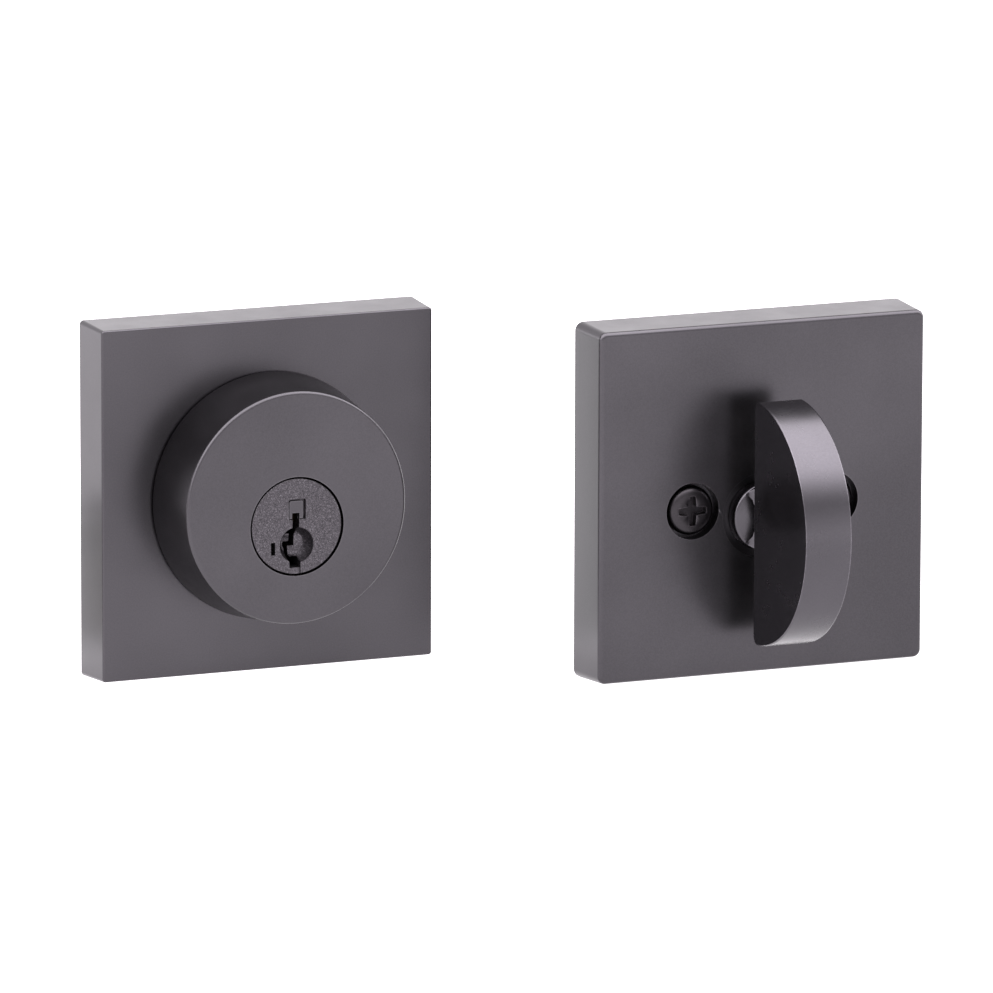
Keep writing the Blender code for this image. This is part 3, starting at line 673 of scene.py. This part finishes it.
def paddle():
    """The half-round thumbturn, with its flange, web and spindle."""
    half = TURN_THICK / 2
    edge = 0.45
    front = -INNER_DEPTH
    rings = []
    for inset, rise in reversed(fillet_steps(edge, 5)):
        rings.append([(-half + edge - rise, y, z) for y, z in paddle_outline(inset)])
    for inset, rise in fillet_steps(edge, 5):
        rings.append([(half - edge + rise, y, z) for y, z in paddle_outline(inset)])
    piece = loft("paddle", rings, INNER)
    # A flange with a low cone for a face, then the spindle with the groove for its clip.
    flange_face = front - 1.7
    flange_r, spindle_r, groove_r = 6.5, 5.0, 4.0
    profile = [(0, flange_face - 1.2), (2.6, flange_face - 1.1), (5.9, flange_face - 0.1)]
    profile += [(6.2, flange_face + 0.08), (6.42, flange_face + 0.35), (flange_r, front + 0.7)]
    profile += [(spindle_r, front + 0.7), (spindle_r, -2.95), (groove_r, -2.95), (groove_r, -1.85)]
    profile += [(spindle_r, -1.85), (spindle_r, -0.8), (0, -0.8)]
    spindle = lathe("spindle", profile, INNER)
    web_half, sweep = 2.5, 1.7
    turns = [math.pi / 2 * i / 8 for i in range(9)]
    flare = [(web_half + sweep * (1 - math.sin(t)), flange_face - sweep * (1 - math.cos(t))) for t in turns]
    half_web = [(web_half + sweep, flange_face + 0.5)] + flare + [(web_half, TURN_FLAT - 2.0)]
    outline = [(-a, b) for a, b in reversed(half_web)] + half_web
    web_r = 6.2
    web = prism("web", outline, -web_r, web_r, INNER, "Z")
    trim = lathe("web_trim", [(web_r, -30), (12, -30), (12, 0), (web_r, 0)], INNER)
    carve(web, [trim])
    carve(piece, [spindle, web], "UNION")
    slot = prism("blade_slot", rectangle((-1.2, 1.2), (-3.1, 3.1)), -6.0, 1.0, INNER)
    carve(piece, [slot])
    mount(piece, "turn", "satin_graphite", POLISHED, "thumbturn")


def thread_points(radius, depth, pitch, start, end, sides):
    """Rings of a screw thread along Y: four to a pitch, with the groove wound round them as a helix."""
    rings = []
    per_pitch = 4
    steps = int((end - start) / pitch * per_pitch)
    for k in range(steps + 1):
        ring = []
        for i in range(sides):
            turn = 2 * math.pi * i / sides
            phase = (k / per_pitch + i / sides) % 1.0
            height = radius - depth * abs(2 * phase - 1)
            ring.append(on_axis("Y", height, start + pitch * k / per_pitch, turn))
        rings.append(ring)
    return rings


def through_screw(number):
    """A black pan-head machine screw with a cross recess and a rolled thread."""
    head_r, thread_r, tip_r, sides = 4.6, 2.0, 1.2, 24
    low, high = node_box(f"through_screw_{number}")
    origin = Vector(((low.x + high.x) / 2, INNER.y, (low.z + high.z) / 2))
    tip = high.y - INNER.y
    top = -INNER_DEPTH + HEAD_SUNK
    under = -INNER_DEPTH + SEAT_DEPTH
    profile = [(0, top), (2.6, top + 0.03), (3.3, top + 0.12), (3.9, top + 0.36), (4.35, top + 0.74)]
    profile += [(head_r, top + 1.2), (head_r, under), (0, under)]
    head = lathe(f"screw_{number}", profile, origin, sides=72)
    level = rounded_points([(-2.75, -0.60, 0.12), (0, -0.90, 0), (2.75, -0.60, 0.12),
                            (2.75, 0.60, 0.12), (0, 0.90, 0), (-2.75, 0.60, 0.12)], 3)
    upright = [(b, a) for a, b in level]
    cross = [prism(f"cross_{number}_{i}", outline, top - 1, top + 1.6, origin)
             for i, outline in enumerate((level, upright))]
    carve(head, cross)
    break_edges(head, 0.1)
    rings = thread_points(thread_r, 0.32, 0.8, under - 0.2, tip - 0.5, sides)
    rings.append([on_axis("Y", tip_r, tip, 2 * math.pi * i / sides) for i in range(sides)])
    shank = loft(f"screw_shank_{number}", rings, origin)
    bm = bmesh.new()
    bm.from_mesh(head.data)
    bm.from_mesh(shank.data)
    bm.to_mesh(head.data)
    bm.free()
    bpy.data.objects.remove(shank)
    mount(head, "interior", "black_screw", SCREW, f"through_screw_{number}")


# ---------------------------------------------------------------- behind the trims, and the latch


def cylinder_shell():
    """The cast body that the plug turns in, and the cup on its rear."""
    front, rear = GUARD_FACE + 2.5, 3.0
    inside, outside = 9.25, 10.6
    profile = [(inside, front + 0.3), (inside + 0.3, front), (outside - 0.3, front), (outside, front + 0.3)]
    profile += [(outside, rear - 0.4), (outside - 0.4, rear), (5.2, rear), (5.0, rear - 0.2)]
    profile += [(5.0, 1.5), (inside, 1.5)]
    piece = lathe("cylinder_shell", profile, OUTER)
    carve(piece, [prism("sidebar_channel", rectangle((-9.9, -8.5), (-1.0, 1.0)), -20.1, -2.9, OUTER)])
    mount(piece, "exterior", "sintered_zinc", ZINC, "cylinder_body")
    front, rear, edge = 3.3, 11.5, 0.6
    inside, outside, hole_r = 8.2, 9.4, 4.8
    profile = [(inside, front), (outside, front), (outside, rear - edge)]
    profile += [(outside - inset, rear - edge + rise) for inset, rise in fillet_steps(edge, 4)]
    profile += [(hole_r + 0.3, rear), (hole_r, rear - 0.3), (hole_r, rear - 1.3), (inside, rear - 1.3)]
    piece = lathe("driver_cup", profile, OUTER)
    mount(piece, "exterior", "sintered_zinc", ZINC, "driver_cap")


def latch_ring():
    """The drive-in collar: a satin face with the bolt's opening, and a ribbed band behind it."""
    radius, edge, ribs = 12.5, 0.6, 144
    face, rear = -BACKSET, -48.0
    profile = [(0, face, 0)]
    profile += [(radius - inset, face + edge - rise, 0) for inset, rise in reversed(fillet_steps(edge, 5))]
    profile += [(radius, face + 4.4, 0), (radius - 0.25, face + 4.6, 0), (radius - 0.25, face + 5.0, 0)]
    profile += [(radius, face + 5.2, 0.22), (radius, rear - 1.0, 0.22), (radius - 0.2, rear, 0)]
    profile += [(11.6, rear, 0), (11.6, face + 3.0, 0), (0, face + 3.0, 0)]
    rings = []
    for reach, along, rib in profile:
        count = ribs if reach else 1
        turns = [2 * math.pi * i / ribs for i in range(count)]
        rings.append([(along, (reach - rib * (i % 2)) * math.cos(t), (reach - rib * (i % 2)) * math.sin(t))
                      for i, t in enumerate(turns)])
    piece = loft("latch_ring", rings, LATCH)
    opening = prism("bolt_opening", rounded(6.85, 9.35, 3.3, 10), face - 1, face + 4, LATCH, "X")
    carve(piece, [opening])
    break_edges(piece, 0.15, angle=50)
    mount(piece, "latch", "satin_graphite", SATIN, "latch_collar")


def latch_barrel():
    """The rolled steel tube round the bolt, with its seam underneath and a crimp."""
    low, high, inside, outside = -57.0, -20.3, 10.4, 11.3
    profile = [(inside, low), (outside - 0.25, low), (outside, low + 0.25), (outside, -24.6)]
    profile += [(outside - 0.3, -24.2), (outside - 0.3, -23.4), (outside, -23.0), (outside, high - 0.25)]
    profile += [(outside - 0.25, high), (inside, high)]
    piece = lathe("latch_barrel", profile, LATCH, "X", sides=128)
    seam = prism("barrel_seam", rectangle((-0.12, 0.12), (-12.0, -11.05)), low - 1, high + 1, LATCH, "X")
    carve(piece, [seam])
    mount(piece, "latch", "plated_steel", STEEL, "latch_tube")


def bolt_bar():
    """The brass bolt, with softened corners and a rounded end."""
    half_y, half_z, corner, edge = 6.5, 9.0, 3.0, 0.9
    rear, tip = -27.3, -BACKSET

    def section(x, inset):
        outline = rounded(half_y - inset, half_z - inset, max(corner - inset, 0.3), 10)
        return [(x, y, z) for y, z in outline]

    rings = [section(rear, 0.4), section(rear - 0.4, 0)]
    rings += [section(tip + edge - rise, inset) for inset, rise in fillet_steps(edge, 6)]
    piece = loft("bolt_bar", rings, LATCH)
    bore = rod("core_bore", 2.9, -56, rear + 1, LATCH, "X", sides=48)
    notch = prism("tail_notch", rectangle((-32.0, rear + 1), (6.3, 10.0)), -2.8, 0.1, LATCH)
    carve(piece, [bore, notch])
    mount(piece, "bolt", "brass", BRASS, "bolt")


def case_rivets():
    """Rivets with domed heads through both halves of the latch's case."""
    reach, side, rise, shank_r = 1.7, 6.55, 0.6, 0.9
    dome_turns = (0.3, 0.6, 0.9, 1.2, 1.57)
    for number in (1, 2, 3):
        low, high = node_box(f"case_rivet_{number}")
        centre = ((low.x + high.x) / 2 - LATCH.x, 0, (low.z + high.z) / 2 - LATCH.z)
        dome = [(reach * math.sin(t), side + rise * math.cos(t)) for t in dome_turns]
        profile = [(0, -side - rise)] + [(r, -along) for r, along in dome]
        profile += [(shank_r, -side), (shank_r, side)]
        profile += [(r, along) for r, along in reversed(dome)] + [(0, side + rise)]
        piece = lathe(f"rivet_{number}", profile, LATCH, "Y", centre, 32)
        mount(piece, "latch", "plated_steel", STEEL, f"case_rivet_{number}")


# The CAD nodes that keep their shape but get rounded edges, with the width in millimetres.
SOFT_EDGES = {
    "latch_case_near": 0.18,
    "latch_case_far": 0.18,
    "crank": 0.25,
    "bolt_tail": 0.2,
    "tail_driver": 0.15,
    "torque_blade": 0.2,
    "backing_plate": 0.2,
    "turn_washer": 0.12,
    "sidebar": 0.1,
}


# ---------------------------------------------------------------- studio


STUDIO_TINT = (1.0, 0.965, 1.0)
# The floor's glow near the lock and further out, and the distances in metres between which it changes,
# from a spot that lies off the aim by the shift.
FLOOR_TONE = 0.2
FLOOR_GLOW = (1.12, 1.56)
FLOOR_FADE = (0.11, 0.31)
FLOOR_SHIFT = (0.21, -0.11)
# The tent's radiance, and the angles in degrees over the top from the back horizon where it changes.
BACKDROP = 1.9
DARK_BAND = 0.3
BACKDROP_EDGE = (26, 46)
TENT = 6.2
TENT_BACK = (56, 72)
TENT_FRONT = (116, 158)
FRONT = 1.7
FRONT_EDGE = (138, 178)
CARD_GLOW = 1.6
# The camera looks at this spot, right of and below the middle of the outside rose's face, in millimetres.
AIM_SHIFT = (46.1, -0.4)


def studio_floor(centre):
    """A pale floor that glows softly, a little less round the lock than further out, the dimmer glow there
    being painted shade for the lock's own shade on it.
    """
    bm = bmesh.new()
    bmesh.ops.create_grid(bm, x_segments=1, y_segments=1, size=6.0)
    floor = mesh_object("studio_floor", bm)
    floor.location = (centre.x + FLOOR_SHIFT[0], centre.y + FLOOR_SHIFT[1], cad_bounds[0][2])
    n = Nodes("floor_white")
    n.feed(n.shader.inputs["Base Color"], rgb(FLOOR_TONE, FLOOR_TONE, FLOOR_TONE))
    n.feed(n.shader.inputs["Roughness"], n.spread(n.noise(30), 0.85, 0.95))
    n.shader.inputs["Specular IOR Level"].default_value = 0.1
    n.shader.inputs["Emission Color"].default_value = rgb(*STUDIO_TINT)
    reach = n.add("ShaderNodeVectorMath", operation="LENGTH")
    n.feed(reach.inputs[0], n.object)
    # Less glow near the lock: painted shade on the floor.
    glow = n.spread(reach.outputs["Value"], *FLOOR_GLOW, *FLOOR_FADE)
    n.feed(n.shader.inputs["Emission Strength"], glow)
    floor.data.materials.append(n.material)


def studio_world():
    """A light tent: over the top from the back, a bright backdrop, a dark band, the tent, a dim front."""
    world = bpy.data.worlds.new("white_studio")
    bpy.context.scene.world = world
    world.use_nodes = True
    nodes, links = world.node_tree.nodes, world.node_tree.links
    background = nodes["Background"]

    def math_node(operation, a, b):
        node = nodes.new("ShaderNodeMath")
        node.operation = operation
        for socket, value in zip(node.inputs, (a, b)):
            if isinstance(value, bpy.types.NodeSocket):
                links.new(value, socket)
            else:
                socket.default_value = value
        return node.outputs["Value"]

    def step(value, start, end, low, high):
        node = nodes.new("ShaderNodeMapRange")
        node.interpolation_type = "SMOOTHSTEP"
        links.new(value, node.inputs["Value"])
        for key, number in (("From Min", start), ("From Max", end), ("To Min", low), ("To Max", high)):
            node.inputs[key].default_value = number
        return node.outputs["Result"]

    split = nodes.new("ShaderNodeSeparateXYZ")
    links.new(nodes.new("ShaderNodeTexCoord").outputs["Generated"], split.inputs["Vector"])
    over = math_node("ARCTAN2", split.outputs["Z"], split.outputs["Y"])
    over = math_node("DIVIDE", over, math.pi / 180)
    behind = step(over, *BACKDROP_EDGE, BACKDROP, DARK_BAND)
    overhead = math_node("MULTIPLY", step(over, *TENT_BACK, 0, TENT), step(over, *TENT_FRONT, 1, 0))
    front = step(over, *FRONT_EDGE, 0, FRONT)
    total = math_node("ADD", math_node("ADD", behind, overhead), front)
    links.new(total, background.inputs["Strength"])
    background.inputs["Color"].default_value = rgb(*STUDIO_TINT)


def fill_card(name, place, facing, size, glow):
    """A small glowing card that the camera doesn't see; place is in millimetres."""
    lamp = bpy.data.lights.new(name, "AREA")
    lamp.shape = "RECTANGLE"
    lamp.size, lamp.size_y = size
    lamp.energy = glow * math.pi * size[0] * size[1]
    card = bpy.data.objects.new(name, lamp)
    bpy.context.scene.collection.objects.link(card)
    card.location = Vector(place) * MM
    card.rotation_euler = Vector(facing).to_track_quat("-Z", "Y").to_euler()
    card.visible_camera = False


def fill_cards():
    """Light for the roses' left sides, where the outside rose and the latch would shade them."""
    between = (OUTER_HIGH.x + 1.5, (INNER.y + OUTER.y) / 2 + 14, OUTER.z + ROSE_UP)
    fill_card("card_between", between, (1, 0, 0), (0.050, 0.075), CARD_GLOW)
    beside = (OUTER_LOW.x - 23, OUTER.y + 9, OUTER.z - 18)
    fill_card("card_beside", beside, (0, -1, 0), (0.040, 0.032), CARD_GLOW / 4)


def studio_camera(aim):
    """A long lens, a little to the left of and above the front."""
    azimuth, elevation, roll = math.radians(-23.47), math.radians(11.10), math.radians(0.15)
    distance, lens = 2.0, 387.6
    back = Vector((math.sin(azimuth) * math.cos(elevation), -math.cos(azimuth) * math.cos(elevation),
                   math.sin(elevation)))
    level = Vector((0, 0, 1)).cross(back).normalized()
    upright = back.cross(level)
    right = level * math.cos(roll) + upright * math.sin(roll)
    up = upright * math.cos(roll) - level * math.sin(roll)
    lens_data = bpy.data.cameras.new("camera")
    lens_data.lens = lens
    lens_data.sensor_width = 36.0
    lens_data.clip_end = 50
    camera = bpy.data.objects.new("camera", lens_data)
    bpy.context.scene.collection.objects.link(camera)
    turned = Matrix((right, up, back)).transposed().to_4x4()
    camera.matrix_world = Matrix.Translation(aim + back * distance) @ turned
    bpy.context.scene.camera = camera


# ---------------------------------------------------------------- the scene


def main():
    dress_nodes()
    outside_rose()
    guard()
    key_plug()
    cap()
    inside_rose()
    paddle()
    through_screw(1)
    through_screw(2)
    cylinder_shell()
    latch_ring()
    latch_barrel()
    bolt_bar()
    case_rivets()
    for name, width in SOFT_EDGES.items():
        softened(name, width)
    aim = Vector((OUTER.x + AIM_SHIFT[0], OUTER.y - OUTER_DEPTH, OUTER.z + AIM_SHIFT[1])) * MM
    studio_floor(aim)
    studio_world()
    fill_cards()
    studio_camera(aim)
    bpy.context.scene.view_settings.view_transform = "Standard"


main()
